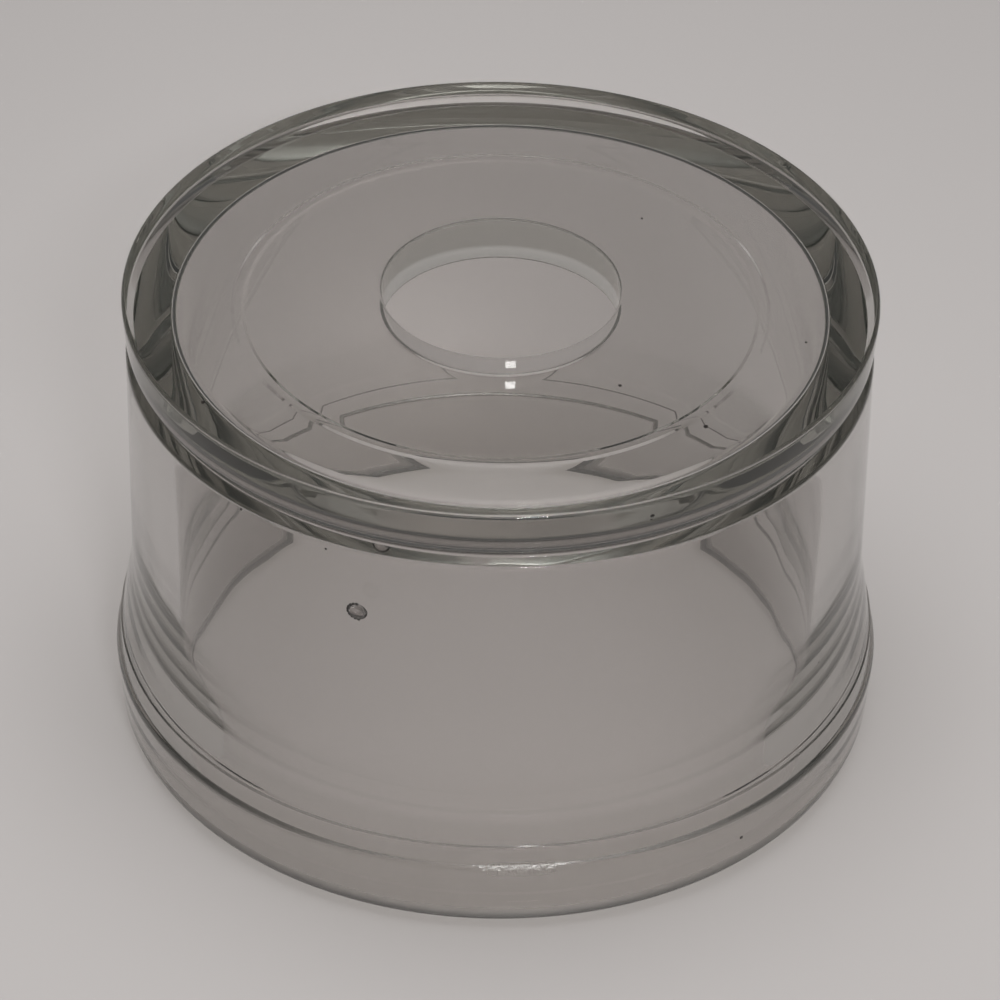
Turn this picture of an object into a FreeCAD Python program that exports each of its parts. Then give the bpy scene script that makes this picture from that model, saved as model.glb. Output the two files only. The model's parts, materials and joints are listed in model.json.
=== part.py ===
import FreeCAD, Part
import os
import Sketcher

# A sediment bowl pressed in one piece of glass. It stands mouth down on z = 0, with
# the base plate and its bolt hole on top, and the axis of the bowl on Z.
# Sizes are in millimetres.

doc = FreeCAD.newDocument("sediment_bowl")

# The driving dimensions: name, millimetres (but for a share), meaning.
DIMENSIONS = [
    ("overall_height", 56.6, "from the mouth rim to the base face"),
    ("wall_diameter", 83.5, "outside of the plain wall"),
    ("wall_thickness", 5.1, "glass of the plain wall"),
    ("base_thickness", 5.4, "glass between the base face and the inner floor"),
    ("bead_proud", 0.35, "bead round the base over the plain wall, at the base face"),
    ("bead_draft", 0.35, "by which the bead draws in down to its turn"),
    ("bead_turn_depth", 4.5, "from the base face to that turn"),
    ("bead_turn_round", 2.5, "easing of that turn"),
    ("bead_arris_round", 0.5, "arris between the base face and the bead"),
    ("neck_inset", 1.15, "neck under the bead, in from the plain wall"),
    ("neck_depth", 6.2, "from the base face to the neck"),
    ("neck_round", 0.3, "hollow of the neck"),
    ("neck_run_out", 1.0, "height over which the neck comes out to the plain wall"),
    ("wall_top_round", 0.8, "easing at the end of that run"),
    ("flare_height", 8.9, "over which the wall eases out to the seam on top of the lip"),
    ("flare_round", 20.0, "easing at the start of the flare"),
    ("seam_proud", 1.35, "foot of the flare over the plain wall, at the seam"),
    ("seam_step", 0.2, "by which the glass steps out at the seam"),
    ("seam_step_height", 0.2, "height of that step"),
    ("seam_round", 0.2, "easing of its two edges"),
    ("lip_proud", 2.15, "lip over the plain wall at its widest"),
    ("lip_shoulder_height", 2.9, "from the seam down to the widest line of the lip"),
    ("lip_shoulder_round", 1.4, "easing at that line"),
    ("ledge_inset", 0.5, "foot of the lip's ledge, in from the widest line"),
    ("ledge_height", 0.6, "from the widest line up to that foot"),
    ("ledge_round", 0.3, "hollow of that foot"),
    ("lip_height", 11.9, "from the mouth rim to the seam"),
    ("lip_draw_in", 0.7, "by which the lip's flank draws in from its widest line to the rim"),
    ("lip_outer_round", 3.2, "bullnose between the lip's flank and its rim"),
    ("lip_inner_round", 2.6, "rounding between the rim and the counterbore"),
    ("least_rim_width", 0.4, "flat of the rim that the bullnose leaves on a thin wall"),
    ("counterbore_step", 0.35, "counterbore of the mouth, out from the bore"),
    ("counterbore_height", 8.5, "from the mouth rim to the end of the counterbore"),
    ("counterbore_slope_height", 0.2, "height of the slope that ends it"),
    ("inner_corner_round", 1.0, "hollow corner between the wall and the inner floor"),
    ("floor_ring_inset", 7.45, "from the bore in to the middle of the ring groove in the inner floor"),
    ("floor_ring_width", 1.6, "over that groove"),
    ("floor_ring_land", 0.8, "flat at the bottom of that groove"),
    ("floor_ring_depth", 0.12, "depth of that groove"),
    ("bolt_hole_diameter", 26.5, "hole through the base plate for the centre bolt"),
    ("bolt_hole_edge_round", 0.35, "arrises of that hole"),
]

sizes = doc.addObject("Spreadsheet::Sheet", "sizes")
for row, (alias, value, meaning) in enumerate(DIMENSIONS, start=1):
    sizes.set("A%d" % row, meaning)
    sizes.set("B%d" % row, str(value))
    sizes.setAlias("B%d" % row, alias)
doc.recompute()

# Places on the wall's section, as the distance from the axis and the height. They
# serve the section's corners and the rings that are rounded there.
WALL_RADIUS = "sizes.wall_diameter / 2"
BEAD_RADIUS = WALL_RADIUS + " + sizes.bead_proud"
TURN_RADIUS = BEAD_RADIUS + " - sizes.bead_draft"
NECK_RADIUS = WALL_RADIUS + " - sizes.neck_inset"
FLARE_FOOT_RADIUS = WALL_RADIUS + " + sizes.seam_proud"
SEAM_RADIUS = FLARE_FOOT_RADIUS + " + sizes.seam_step"
LIP_RADIUS = WALL_RADIUS + " + sizes.lip_proud"
LEDGE_RADIUS = LIP_RADIUS + " - sizes.ledge_inset"
LIP_FOOT_RADIUS = LIP_RADIUS + " - sizes.lip_draw_in"
BORE_RADIUS = WALL_RADIUS + " - sizes.wall_thickness"
COUNTERBORE_RADIUS = BORE_RADIUS + " + sizes.counterbore_step"
RING_RADIUS = BORE_RADIUS + " - sizes.floor_ring_inset"
RING_OUTER_EDGE = RING_RADIUS + " + sizes.floor_ring_width / 2"
RING_OUTER_FOOT = RING_RADIUS + " + sizes.floor_ring_land / 2"
RING_INNER_FOOT = RING_RADIUS + " - sizes.floor_ring_land / 2"
RING_INNER_EDGE = RING_RADIUS + " - sizes.floor_ring_width / 2"
HOLE_RADIUS = "sizes.bolt_hole_diameter / 2"
BASE_FACE = "sizes.overall_height"
TURN = "sizes.overall_height - sizes.bead_turn_depth"
NECK = "sizes.overall_height - sizes.neck_depth"
WALL_TOP = NECK + " - sizes.neck_run_out"
FLARE_TOP = "sizes.lip_height + sizes.flare_height"
FLARE_FOOT = "sizes.lip_height + sizes.seam_step_height"
SEAM = "sizes.lip_height"
LIP_WIDEST = "sizes.lip_height - sizes.lip_shoulder_height"
LEDGE = LIP_WIDEST + " + sizes.ledge_height"
RIM = "0 mm"
COUNTERBORE_END = "sizes.counterbore_height"
BORE_FOOT = "sizes.counterbore_height + sizes.counterbore_slope_height"
INNER_FLOOR = "sizes.overall_height - sizes.base_thickness"
RING_BOTTOM = INNER_FLOOR + " + sizes.floor_ring_depth"

# The bullnose as given, or as much of it as the lip has room for.
LIP_THICKNESS = "sizes.lip_proud - sizes.lip_draw_in + sizes.wall_thickness - sizes.counterbore_step"
LIP_ROOM = LIP_THICKNESS + " - sizes.lip_inner_round - sizes.least_rim_width"
BULLNOSE = "min(sizes.lip_outer_round; " + LIP_ROOM + ")"

# The section's corners in order round the glass: a first rough place, then the place
# that the constraints hold.
SECTION = [
    ("hole_top", (13, 57), HOLE_RADIUS, BASE_FACE),
    ("bead_arris", (42, 57), BEAD_RADIUS, BASE_FACE),
    ("bead_turn", (41.8, 52.1), TURN_RADIUS, TURN),
    ("neck", (40.6, 50.4), NECK_RADIUS, NECK),
    ("wall_top", (41.7, 49.4), WALL_RADIUS, WALL_TOP),
    ("flare_top", (41.7, 20.8), WALL_RADIUS, FLARE_TOP),
    ("flare_foot", (43.1, 12.1), FLARE_FOOT_RADIUS, FLARE_FOOT),
    ("seam", (43.3, 11.9), SEAM_RADIUS, SEAM),
    ("ledge_foot", (43.4, 9.6), LEDGE_RADIUS, LEDGE),
    ("lip_widest", (43.9, 9), LIP_RADIUS, LIP_WIDEST),
    ("lip_edge", (43.2, 0), LIP_FOOT_RADIUS, RIM),
    ("mouth_edge", (37, 0), COUNTERBORE_RADIUS, RIM),
    ("counterbore_end", (37, 8.5), COUNTERBORE_RADIUS, COUNTERBORE_END),
    ("bore_foot", (36.7, 8.7), BORE_RADIUS, BORE_FOOT),
    ("floor_corner", (36.7, 51.5), BORE_RADIUS, INNER_FLOOR),
    ("ring_outer_edge", (30, 51.5), RING_OUTER_EDGE, INNER_FLOOR),
    ("ring_outer_foot", (29.6, 51.6), RING_OUTER_FOOT, RING_BOTTOM),
    ("ring_inner_foot", (28.8, 51.6), RING_INNER_FOOT, RING_BOTTOM),
    ("ring_inner_edge", (28.4, 51.5), RING_INNER_EDGE, INNER_FLOOR),
    ("hole_foot", (13, 51.5), HOLE_RADIUS, INNER_FLOOR),
]

# The rings that are rounded, in order: corner of the section, radius. Each feature
# is named after its corner.
ROUNDED = [
    ("floor_corner", "sizes.inner_corner_round"),
    ("lip_edge", BULLNOSE),
    ("mouth_edge", "sizes.lip_inner_round"),
    ("flare_top", "sizes.flare_round"),
    ("flare_foot", "sizes.seam_round"),
    ("seam", "sizes.seam_round"),
    ("ledge_foot", "sizes.ledge_round"),
    ("lip_widest", "sizes.lip_shoulder_round"),
    ("bead_arris", "sizes.bead_arris_round"),
    ("bead_turn", "sizes.bead_turn_round"),
    ("neck", "sizes.neck_round"),
    ("wall_top", "sizes.wall_top_round"),
    ("hole_top", "sizes.bolt_hole_edge_round"),
    ("hole_foot", "sizes.bolt_hole_edge_round"),
]

SAME_PLACE = 1e-4  # rings this near, in millimetres, are the same one


def draw_section(body):
    """The half section of the bowl on the body's XZ plane, tied to the sheet."""
    plane = next(f for f in body.Origin.OriginFeatures if f.Role == "XZ_Plane")
    sketch = body.newObject("Sketcher::SketchObject", "wall_section")
    sketch.AttachmentSupport = [(plane, "")]
    sketch.MapMode = "FlatFace"
    count = len(SECTION)
    for number in range(count):
        across, up = SECTION[number][1]
        next_across, next_up = SECTION[(number + 1) % count][1]
        start = FreeCAD.Vector(across, up, 0)
        end = FreeCAD.Vector(next_across, next_up, 0)
        sketch.addGeometry(Part.LineSegment(start, end), False)
    for number in range(count):
        following = (number + 1) % count
        sketch.addConstraint(Sketcher.Constraint("Coincident", number, 2, following, 1))
    for number, (name, rough, radius, height) in enumerate(SECTION):
        hold(sketch, "DistanceX", number, name + "_radius", rough[0], radius)
        if height == RIM:
            sketch.addConstraint(Sketcher.Constraint("PointOnObject", number, 1, -1))
        else:
            hold(sketch, "DistanceY", number, name + "_height", rough[1], height)
    return sketch


def hold(sketch, kind, line, name, rough, expression):
    """Ties the start of a line to the sketch's origin by an expression of the sheet."""
    index = sketch.addConstraint(Sketcher.Constraint(kind, -1, 1, line, 1, rough))
    sketch.renameConstraint(index, name)
    sketch.setExpression("Constraints." + name, expression)


def ring_edge(shape, radius, height):
    """The name of the circular edge about the axis at this radius and height."""
    for number, edge in enumerate(shape.Edges, start=1):
        if not isinstance(edge.Curve, Part.Circle):
            continue
        off = abs(edge.Curve.Radius - radius) + abs(edge.Curve.Center.z - height)
        if off < SAME_PLACE:
            return "Edge%d" % number
    raise RuntimeError("no ring at radius %.3f and height %.3f" % (radius, height))


def corner_place(sketch, name):
    """The radius and height at which the section's corner of this name settled."""
    number = [corner[0] for corner in SECTION].index(name)
    point = sketch.getPoint(number, 1)
    return point.x, point.y


def make_bowl():
    """The bowl: its section turned round the axis, then its arrises and hollows eased."""
    body = doc.addObject("PartDesign::Body", "glass_bowl")
    body.Label = "glass_bowl"
    body.Placement = FreeCAD.Placement()
    sketch = draw_section(body)
    doc.recompute()
    turned = body.newObject("PartDesign::Revolution", "turned_wall")
    turned.Profile = sketch
    turned.ReferenceAxis = (sketch, ["V_Axis"])
    turned.Angle = 360
    doc.recompute()
    last = turned
    for corner, radius in ROUNDED:
        rounded = body.newObject("PartDesign::Fillet", corner + "_round")
        rounded.Base = (last, [ring_edge(last.Shape, *corner_place(sketch, corner))])
        rounded.setExpression("Radius", radius)
        doc.recompute()
        last = rounded
    body.Tip = last
    doc.recompute()
    return body


def check(subparts):
    """Stops if any object failed to compute or a sub-part has no valid solid."""
    for item in doc.Objects:
        if "Invalid" in item.State or "Error" in item.State:
            raise RuntimeError("%s failed: %s" % (item.Label, item.State))
    for subpart in subparts:
        shape = subpart.Shape
        if shape.isNull() or not shape.isValid() or len(shape.Solids) != 1:
            raise RuntimeError("%s is not one valid solid" % subpart.Label)


subparts = [make_bowl()]
check(subparts)
os.makedirs("parts", exist_ok=True)
for subpart in subparts:
    subpart.Shape.exportStep("parts/%s.step" % subpart.Label)
    print("%s, %.1f mm3" % (subpart.Label, subpart.Shape.Volume))
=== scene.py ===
import json
import math

import bmesh
import bpy
from mathutils import Matrix, Vector, noise


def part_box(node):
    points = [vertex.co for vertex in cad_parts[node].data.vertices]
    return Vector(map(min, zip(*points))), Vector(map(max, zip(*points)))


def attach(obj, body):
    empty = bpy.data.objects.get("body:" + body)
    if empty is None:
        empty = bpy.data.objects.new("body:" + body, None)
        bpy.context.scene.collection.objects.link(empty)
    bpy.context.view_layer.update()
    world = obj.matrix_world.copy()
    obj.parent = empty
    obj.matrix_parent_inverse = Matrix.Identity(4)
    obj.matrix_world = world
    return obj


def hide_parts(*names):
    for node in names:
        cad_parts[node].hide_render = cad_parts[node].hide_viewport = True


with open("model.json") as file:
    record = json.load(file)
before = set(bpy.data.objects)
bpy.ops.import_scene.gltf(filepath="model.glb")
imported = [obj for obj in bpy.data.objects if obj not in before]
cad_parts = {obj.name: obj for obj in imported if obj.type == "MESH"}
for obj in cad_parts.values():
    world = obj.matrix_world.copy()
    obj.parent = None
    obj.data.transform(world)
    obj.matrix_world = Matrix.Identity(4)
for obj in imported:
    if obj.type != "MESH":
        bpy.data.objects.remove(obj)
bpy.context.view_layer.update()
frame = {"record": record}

# A glass sediment bowl that stands on its mouth, with its base plate and bolt hole on top.
MM = 0.001

# ---------------------------------------------------------------- sizes, in mm
# Radii are from the axis and heights from the rim that the bowl stands on.
low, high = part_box("glass_bowl")
HEIGHT = (high.z - low.z) / MM
HOLE = next(m for m in frame["record"]["mounts"] if m["name"] == "bolt_hole")
HOLE_R = HOLE["dims"]["r_mm"]
LIP_R = high.x / MM + 0.04       # corner of the widest line, before its easing
WALL_R = LIP_R - 2.15            # outside of the plain wall
BORE_R = WALL_R - 5.1            # inside of the wall
MOUTH_R = BORE_R + 0.35          # counterbore of the mouth
INNER_FLOOR = HEIGHT - 5.4       # underside of the base plate
RING_R = BORE_R - 7.45           # middle of the ring groove in the inner floor
RING_TOP = INNER_FLOOR + 0.12

# The section's corners in order round the glass: radius, height, round.
CORNERS = [
    (HOLE_R, HEIGHT, 0.35),
    (WALL_R + 0.35, HEIGHT, 0.5),            # bead round the base
    (WALL_R, HEIGHT - 4.5, 2.5),
    (WALL_R - 1.15, HEIGHT - 6.2, 0.3),      # neck under the bead
    (WALL_R, HEIGHT - 7.2, 0.8),
    (WALL_R, 20.8, 20.0),                    # start of the flare
    (WALL_R + 1.35, 12.1, 0.2),              # seam on top of the lip
    (WALL_R + 1.55, 11.9, 0.2),
    (LIP_R - 0.5, 9.6, 0.3),                 # ledge of the lip
    (LIP_R, 9.0, 1.4),
    (LIP_R - 0.7, 0.0, 3.2),                 # bullnose
    (MOUTH_R, 0.0, 2.6),
    (MOUTH_R, 8.5, 0.12),
    (BORE_R, 8.7, 0.12),
    (BORE_R, INNER_FLOOR, 1.0),
    (RING_R + 0.8, INNER_FLOOR, 0.4),
    (RING_R + 0.4, RING_TOP, 0.4),
    (RING_R - 0.4, RING_TOP, 0.4),
    (RING_R - 0.8, INNER_FLOOR, 0.4),
    (HOLE_R, INNER_FLOOR, 0.35),
]

# How the bore is uneven: rise, radius of the noise that it samples, height over which the
# noise runs by one, and where in the noise it starts.
WAVES = [
    (0.05, 3.5, 26, 0),
    (0.012, 11, 60, 7),
]
WAVY_FROM, WAVY_FADE_IN = 14, 8
WAVY_TO, WAVY_FADE_OUT = HEIGHT - 9, 6

# An air bubble and dark specks in the glass. A bearing is in degrees from the front.
BUBBLE_AT = (-21.2, WALL_R - 1.5, 40.6)      # bearing, radius, height
BUBBLE_SIZE = (1.1, 0.95, 0.85)              # half sizes across, up and deep
# painted shade: dark dots round one side of the bubble draw its dark outline
BUBBLE_SHADE_RING = (1.15, 1.0)                      # round the bubble, across and up
BUBBLE_SHADE_DOT_SIZE = (0.19, 0.19, 0.15)
BUBBLE_SHADE_TURNS = range(95, 290, 20)              # degrees round the bubble
FACE_DEPTH = HEIGHT - 0.4
SKIN_DEPTH = WALL_R - 0.4
SPECKS = [                                   # bearing, radius, height, half size
    (131.9, 21.2, FACE_DEPTH, 0.15),
    (36.0, 22.2, FACE_DEPTH, 0.20),
    (41.4, 33.6, FACE_DEPTH, 0.26),
    (74.4, 34.8, FACE_DEPTH, 0.14),
    (-55.1, 38.9, FACE_DEPTH, 0.24),
    (-41.4, SKIN_DEPTH, 48.8, 0.16),
    (-26.0, SKIN_DEPTH, 48.4, 0.14),
    (40.0, WALL_R + 1.0, 5.4, 0.22),
    (60.4, WALL_R - 0.5, 20.5, 0.15),
]

ARC_STEP = math.radians(5)   # turn between two points of a rounded corner
LONGEST_STEP = 1.2           # distance between two points of a straight run
AROUND = 360                 # points round the bowl
ON_BORE = 0.01               # how near to the bore's radius a point of the bore lies

# ---------------------------------------------------------------- looks
# Bands of the glass along a direction: start, end and fade, in mm.
RIM_UP = (-1.0, 0.5, 0.6)
# where the painted light on the plate lies
PLATE_PAINTED_LIGHT_UP = (HEIGHT - 5.6, HEIGHT + 1.0, 0.2)
# where the painted shade on the bead lies, up and out
BEAD_PAINTED_SHADE_UP = (HEIGHT - 4.2, HEIGHT - 0.7, 0.5)
BEAD_PAINTED_SHADE_OUT = (39.5, 50.0, 1.0)
# where the painted shade on the lip lies
LIP_PAINTED_SHADE_UP = (-1.0, 11.0, 1.2)
SCUFF_UP = (8.7, 9.6, 1.4)
SCUFF_SIDE = (0.5, 6.0, 5.0)
SCUFF_FRONT = (-46.0, -40.5, 0.8)

GLASS_IOR = 1.51
WALL_SKIN = (0.68, 0.66, 0.65, 1)
# painted light: the plate's tint is left clear so that the view through the plate is lighter
PLATE_PAINTED_LIGHT = (1.0, 0.99, 0.985, 1)
# painted shade: a darker tint on the bead
BEAD_PAINTED_SHADE = (0.42, 0.40, 0.375, 1)
# painted shade: a darker tint on the lip
LIP_PAINTED_SHADE = (0.60, 0.58, 0.565, 1)
GLASS_DEPTH_COLOUR = (0.32, 0.35, 0.28, 1)
GLASS_DEPTH_DENSITY = 14.0
SHADOW_COLOUR = (0.80, 0.79, 0.785, 1)
RIM_ROUGHNESS = 0.5
SCUFF_ROUGHNESS = 0.34
SCUFF_GRAIN = 2400.0         # scale of the noise
SCUFF_GRAIN_DETAIL = 2.0
SCUFF_RISE = 0.22            # mm
# the dark specks' colour, which also paints the shade dots round the bubble
SPECK_AND_SHADE_COLOUR = (0.02, 0.017, 0.015, 1)
SPECK_AND_SHADE_ROUGHNESS = 0.8
FLOOR_COLOUR = (0.48, 0.455, 0.445, 1)

# ---------------------------------------------------------------- studio, in m and W
FLOOR_HALF = 0.8
FLOOR_DROP = 0.02 * MM       # keeps the floor just clear of the rim
KEY_AT, KEY_SIZE, KEY_POWER = (0.14, -0.77, 0.62), (0.13, 0.035), 3.2
OVERHEAD_AT, OVERHEAD_SIZE, OVERHEAD_POWER = (0, 0, 0.5), (0.4, 0.4), 2.4
WORLD_COLOUR = (0.08, 0.08, 0.08, 1)

# ---------------------------------------------------------------- camera
SENSOR = 36.0                # mm
LENS = 202.3056              # mm
DISTANCE = 623.35            # mm from the centre of the base face
ELEVATION = math.radians(35.03)
ROLL = math.radians(0.911)
# The turn from the centre of the base face to the middle of the picture.
PAN = math.radians(0.010094)
TILT = math.radians(-2.171257)


def corner_arc(before, here, after, radius):
    """The points of the arc that rounds the corner at here, between its two neighbours."""
    before = (before - here).normalized()
    after = (after - here).normalized()
    half = before.angle(after) / 2
    centre = here + (before + after).normalized() * radius / math.sin(half)
    start = here + before * radius / math.tan(half)
    turn = math.pi - 2 * half
    sign = 1 if before.x * after.y - before.y * after.x < 0 else -1
    steps = max(2, math.ceil(turn / ARC_STEP))
    spoke = start - centre
    arc = []
    for step in range(steps + 1):
        angle = sign * turn * step / steps
        c, s = math.cos(angle), math.sin(angle)
        arc.append(centre + Vector((spoke.x * c - spoke.y * s, spoke.x * s + spoke.y * c)))
    return arc


def rounded_section():
    """The glass's section as a closed list of (radius, height), its corners rounded."""
    count = len(CORNERS)
    places = [Vector(corner[:2]) for corner in CORNERS]
    arcs = [
        corner_arc(places[k - 1], places[k], places[(k + 1) % count], CORNERS[k][2])
        for k in range(count)
    ]
    points = []
    for number, arc in enumerate(arcs):
        points += arc
        run = arcs[(number + 1) % count][0] - arc[-1]
        pieces = max(1, math.ceil(run.length / LONGEST_STEP))
        points += [arc[-1] + run * k / pieces for k in range(1, pieces)]
    return points


def unevenness(angle, height):
    """By how much the pressed bore stands off its round at this place, in mm."""
    fade_in = max(0.0, (height - WAVY_FROM) / WAVY_FADE_IN)
    fade_out = max(0.0, (WAVY_TO - height) / WAVY_FADE_OUT)
    rise = 0
    for most, reach, run, start in WAVES:
        place = (reach * math.cos(angle), reach * math.sin(angle), start + height / run)
        rise += most * noise.noise(Vector(place))
    return min(1.0, fade_in, fade_out) * rise


def add_shell(bm, bearing, radius, height, size, hollow):
    """A small closed ellipsoid in the glass: an air bubble if hollow, else a dark speck."""
    across, up, deep = size
    angle = math.radians(bearing - 90)
    out = Vector((math.cos(angle), math.sin(angle), 0))
    side = Vector((-math.sin(angle), math.cos(angle), 0))
    middle = out * radius + Vector((0, 0, height))
    shell = bmesh.ops.create_icosphere(bm, subdivisions=3, radius=1.0)["verts"]
    for vert in shell:
        x, y, z = vert.co
        vert.co = (middle + side * (x * across) + out * (y * deep) + Vector((0, 0, z * up))) * MM
    for face in {face for vert in shell for face in vert.link_faces}:
        face.smooth = True
        if hollow:
            face.normal_flip()
        else:
            face.material_index = 1


def add_turned_glass(bm):
    """The section turned round the axis, with its bore uneven."""
    section = rounded_section()
    rings = []
    for k in range(AROUND):
        angle = 2 * math.pi * k / AROUND
        c, s = math.cos(angle), math.sin(angle)
        ring = []
        for p in section:
            on_bore = abs(p.x - BORE_R) < ON_BORE
            across = p.x + (unevenness(angle, p.y) if on_bore else 0)
            ring.append(bm.verts.new((across * c * MM, across * s * MM, p.y * MM)))
        rings.append(ring)
    for k in range(AROUND):
        here, there = rings[k], rings[(k + 1) % AROUND]
        for i in range(len(section)):
            j = (i + 1) % len(section)
            bm.faces.new((here[i], here[j], there[j], there[i]))
    bmesh.ops.recalc_face_normals(bm, faces=bm.faces)
    for face in bm.faces:
        face.smooth = True


def make_bowl():
    bm = bmesh.new()
    add_turned_glass(bm)
    bearing, radius, height = BUBBLE_AT
    add_shell(bm, bearing, radius, height, BUBBLE_SIZE, True)
    for turn in BUBBLE_SHADE_TURNS:
        # painted shade: dark dots that draw the dark outline on one side of the bubble
        across = BUBBLE_SHADE_RING[0] * math.cos(math.radians(turn))
        up = BUBBLE_SHADE_RING[1] * math.sin(math.radians(turn))
        aside = bearing + math.degrees(across / radius)
        add_shell(bm, aside, radius, height + up, BUBBLE_SHADE_DOT_SIZE, False)
    for bearing, radius, height, size in SPECKS:
        add_shell(bm, bearing, radius, height, (size, size, size), False)
    mesh = bpy.data.meshes.new("bowl_glass")
    bm.to_mesh(mesh)
    bm.free()
    bowl = bpy.data.objects.new("bowl_glass", mesh)
    bpy.context.scene.collection.objects.link(bowl)
    return bowl


def new_material(name):
    material = bpy.data.materials.new(name)
    material.use_nodes = True
    material.node_tree.nodes.clear()
    return material, material.node_tree.nodes, material.node_tree.links


def product(nodes, links, first, second):
    """A mask that is 1 where both masks are."""
    both = nodes.new("ShaderNodeMath")
    both.operation = "MULTIPLY"
    links.new(first, both.inputs[0])
    links.new(second, both.inputs[1])
    return both.outputs[0]


def band(nodes, links, place, start, end, fade):
    """A mask that is 1 between two places in mm and fades out over fade at either end."""
    masks = []
    for near, far, first, last in (
        (start - fade, start, 0.0, 1.0),
        (end, end + fade, 1.0, 0.0),
    ):
        ramp = nodes.new("ShaderNodeMapRange")
        links.new(place, ramp.inputs["Value"])
        ramp.inputs["From Min"].default_value = near * MM
        ramp.inputs["From Max"].default_value = far * MM
        ramp.inputs["To Min"].default_value = first
        ramp.inputs["To Max"].default_value = last
        masks.append(ramp.outputs[0])
    return product(nodes, links, *masks)


def distance_from_axis(nodes, links, split):
    flat = nodes.new("ShaderNodeCombineXYZ")
    links.new(split.outputs["X"], flat.inputs["X"])
    links.new(split.outputs["Y"], flat.inputs["Y"])
    across = nodes.new("ShaderNodeVectorMath")
    across.operation = "LENGTH"
    links.new(flat.outputs[0], across.inputs[0])
    return across.outputs["Value"]


def glass_tint_and_painted_light(nodes, links, split):
    """The wall's own tint, with painted light on the plate (a clearer tint) and painted shade on
    the bead and lip (darker tints) laid over it.
    """
    up = split.outputs["Z"]
    out = distance_from_axis(nodes, links, split)
    bead = product(
        nodes, links, band(nodes, links, up, *BEAD_PAINTED_SHADE_UP), band(nodes, links, out, *BEAD_PAINTED_SHADE_OUT)
    )
    # painted light on the plate, painted shade on the bead and lip
    painted_tints = [
        (band(nodes, links, up, *PLATE_PAINTED_LIGHT_UP), PLATE_PAINTED_LIGHT),
        (bead, BEAD_PAINTED_SHADE),
        (band(nodes, links, up, *LIP_PAINTED_SHADE_UP), LIP_PAINTED_SHADE),
    ]
    blend = None
    for mask, painted_tint in painted_tints:
        under, blend = blend, nodes.new("ShaderNodeMix")
        blend.data_type = "RGBA"
        links.new(mask, blend.inputs[0])
        # inputs 6 and 7 are the colours that it mixes
        blend.inputs[6].default_value = WALL_SKIN
        blend.inputs[7].default_value = painted_tint
        if under:
            links.new(under.outputs[2], blend.inputs[6])
    return blend.outputs[2]


def scuffed_patch(nodes, links, split):
    """A mask over the front of the lip's ledge."""
    scuff = band(nodes, links, split.outputs["Z"], *SCUFF_UP)
    scuff = product(nodes, links, scuff, band(nodes, links, split.outputs["X"], *SCUFF_SIDE))
    return product(nodes, links, scuff, band(nodes, links, split.outputs["Y"], *SCUFF_FRONT))


def roughness(nodes, links, rim, scuff):
    """The glass is smooth all over but for the matt rim and the scuffed patch."""
    total = nodes.new("ShaderNodeMath")
    total.operation = "ADD"
    for number, (mask, most) in enumerate(((rim, RIM_ROUGHNESS), (scuff, SCUFF_ROUGHNESS))):
        part = nodes.new("ShaderNodeMath")
        part.operation = "MULTIPLY"
        links.new(mask, part.inputs[0])
        part.inputs[1].default_value = most
        links.new(part.outputs[0], total.inputs[number])
    return total.outputs[0]


def grain_bump(nodes, links, place, scuff):
    grain = nodes.new("ShaderNodeTexNoise")
    grain.inputs["Scale"].default_value = SCUFF_GRAIN
    grain.inputs["Detail"].default_value = SCUFF_GRAIN_DETAIL
    links.new(place, grain.inputs["Vector"])
    bump = nodes.new("ShaderNodeBump")
    bump.inputs["Distance"].default_value = SCUFF_RISE * MM
    links.new(grain.outputs[0], bump.inputs["Height"])
    links.new(scuff, bump.inputs["Strength"])
    return bump.outputs[0]


def glass_material():
    material, nodes, links = new_material("pressed_glass")
    coordinates = nodes.new("ShaderNodeTexCoord")
    place = coordinates.outputs["Object"]
    split = nodes.new("ShaderNodeSeparateXYZ")
    links.new(place, split.inputs[0])
    rim = band(nodes, links, split.outputs["Z"], *RIM_UP)
    scuff = scuffed_patch(nodes, links, split)

    glass = nodes.new("ShaderNodeBsdfPrincipled")
    glass.inputs["IOR"].default_value = GLASS_IOR
    glass.inputs["Transmission Weight"].default_value = 1.0
    links.new(glass_tint_and_painted_light(nodes, links, split), glass.inputs["Base Color"])
    links.new(roughness(nodes, links, rim, scuff), glass.inputs["Roughness"])
    links.new(grain_bump(nodes, links, place, scuff), glass.inputs["Normal"])

    # a shadow ray goes straight through, so that the floor under the glass is lit
    clear = nodes.new("ShaderNodeBsdfTransparent")
    clear.inputs["Color"].default_value = SHADOW_COLOUR
    path = nodes.new("ShaderNodeLightPath")
    mix = nodes.new("ShaderNodeMixShader")
    links.new(path.outputs["Is Shadow Ray"], mix.inputs[0])
    links.new(glass.outputs[0], mix.inputs[1])
    links.new(clear.outputs[0], mix.inputs[2])

    absorb = nodes.new("ShaderNodeVolumeAbsorption")
    absorb.inputs["Color"].default_value = GLASS_DEPTH_COLOUR
    absorb.inputs["Density"].default_value = GLASS_DEPTH_DENSITY
    out = nodes.new("ShaderNodeOutputMaterial")
    links.new(mix.outputs[0], out.inputs["Surface"])
    links.new(absorb.outputs[0], out.inputs["Volume"])
    return material


def speck_material():
    # dark specks in the glass, and the painted shade dots round the bubble
    material, nodes, links = new_material("dark_speck")
    out = nodes.new("ShaderNodeOutputMaterial")
    speck_and_shade = nodes.new("ShaderNodeBsdfPrincipled")
    speck_and_shade.inputs["Base Color"].default_value = SPECK_AND_SHADE_COLOUR
    speck_and_shade.inputs["Roughness"].default_value = SPECK_AND_SHADE_ROUGHNESS
    links.new(speck_and_shade.outputs[0], out.inputs["Surface"])
    return material


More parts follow.
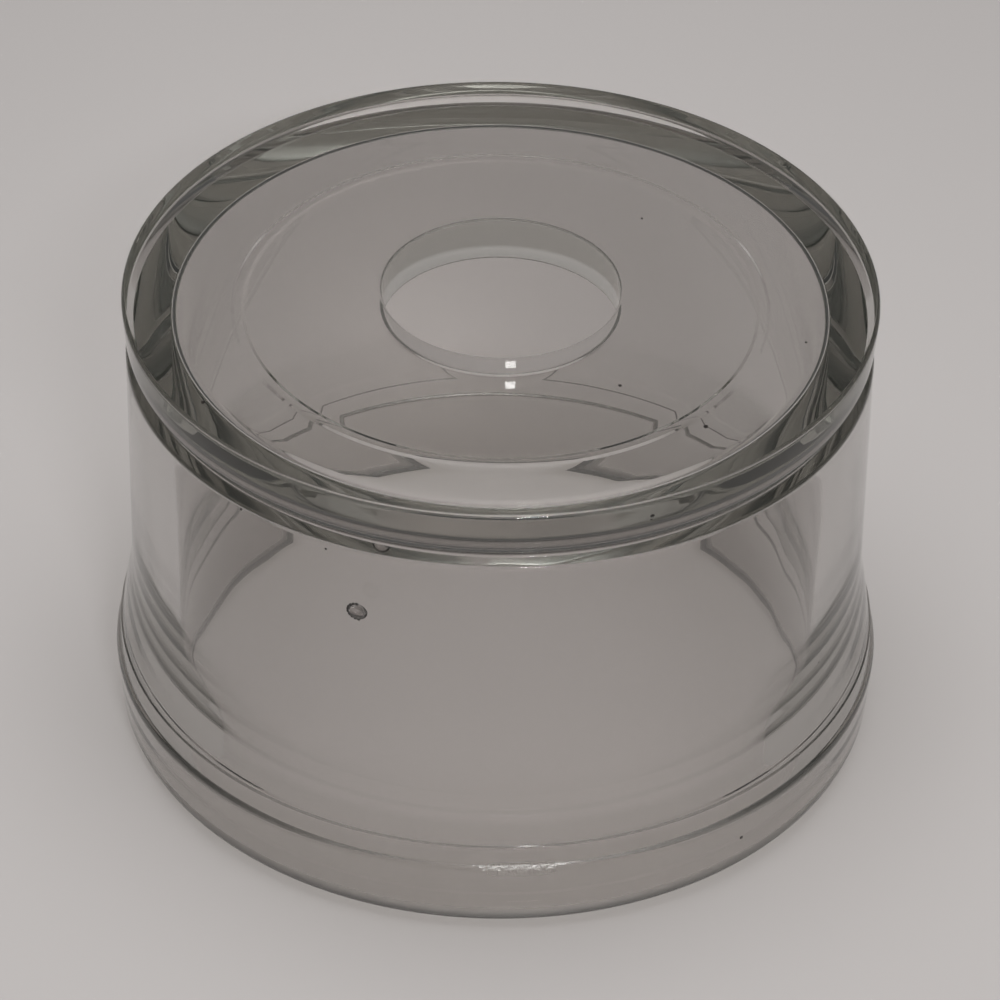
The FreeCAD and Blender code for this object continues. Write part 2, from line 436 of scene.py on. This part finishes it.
def floor_material():
    material, nodes, links = new_material("studio_floor")
    out = nodes.new("ShaderNodeOutputMaterial")
    paint = nodes.new("ShaderNodeBsdfDiffuse")
    paint.inputs["Color"].default_value = FLOOR_COLOUR
    links.new(paint.outputs[0], out.inputs["Surface"])
    return material


def make_floor():
    mesh = bpy.data.meshes.new("floor")
    corners = [(x * FLOOR_HALF, y * FLOOR_HALF, 0) for x, y in ((-1, -1), (1, -1), (1, 1), (-1, 1))]
    mesh.from_pydata(corners, [], [(0, 1, 2, 3)])
    floor = bpy.data.objects.new("floor", mesh)
    floor.location.z = -FLOOR_DROP
    floor.data.materials.append(floor_material())
    bpy.context.scene.collection.objects.link(floor)


def area_light(name, place, size, power):
    """A rectangular lamp that points at the origin."""
    lamp = bpy.data.lights.new(name, "AREA")
    lamp.shape = "RECTANGLE"
    lamp.size, lamp.size_y = size
    lamp.energy = power
    ob = bpy.data.objects.new(name, lamp)
    ob.location = place
    towards = Vector((0, 0, 0)) - Vector(place)
    ob.rotation_euler = towards.to_track_quat("-Z", "Y").to_euler()
    bpy.context.scene.collection.objects.link(ob)
    return ob


def make_camera():
    camera = bpy.data.cameras.new("camera")
    camera.sensor_width = SENSOR
    camera.lens = LENS
    camera.clip_start = 0.01
    ob = bpy.data.objects.new("camera", camera)
    bpy.context.scene.collection.objects.link(ob)
    target = Vector((0, 0, HEIGHT * MM))
    away = Vector((0, -math.cos(ELEVATION), math.sin(ELEVATION)))
    place = target + away * DISTANCE * MM
    look = (target - place).to_track_quat("-Z", "Y").to_matrix()
    # roll about the line of sight, then turn so that the base face lands above the middle
    look = look @ Matrix.Rotation(ROLL, 3, "Z")
    look = look @ Matrix.Rotation(PAN, 3, "Y") @ Matrix.Rotation(TILT, 3, "X")
    ob.matrix_world = Matrix.Translation(place) @ look.to_4x4()
    bpy.context.scene.camera = ob


bowl = make_bowl()
bowl.data.materials.append(glass_material())
bowl.data.materials.append(speck_material())
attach(bowl, "root")
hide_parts("glass_bowl")

make_floor()

area_light("key", KEY_AT, KEY_SIZE, KEY_POWER)
overhead = area_light("overhead", OVERHEAD_AT, OVERHEAD_SIZE, OVERHEAD_POWER)
overhead.visible_glossy = False
overhead.visible_transmission = False

world = bpy.data.worlds.new("studio")
bpy.context.scene.world = world
world.use_nodes = True
world.node_tree.nodes["Background"].inputs[0].default_value = WORLD_COLOUR
world.node_tree.nodes["Background"].inputs[1].default_value = 1.0

make_camera()
# light is turned inside the glass many times before it leaves
bpy.context.scene.cycles.max_bounces = 40
bpy.context.scene.cycles.glossy_bounces = 32
bpy.context.scene.cycles.transmission_bounces = 32
bpy.context.scene.view_settings.view_transform = "Standard"
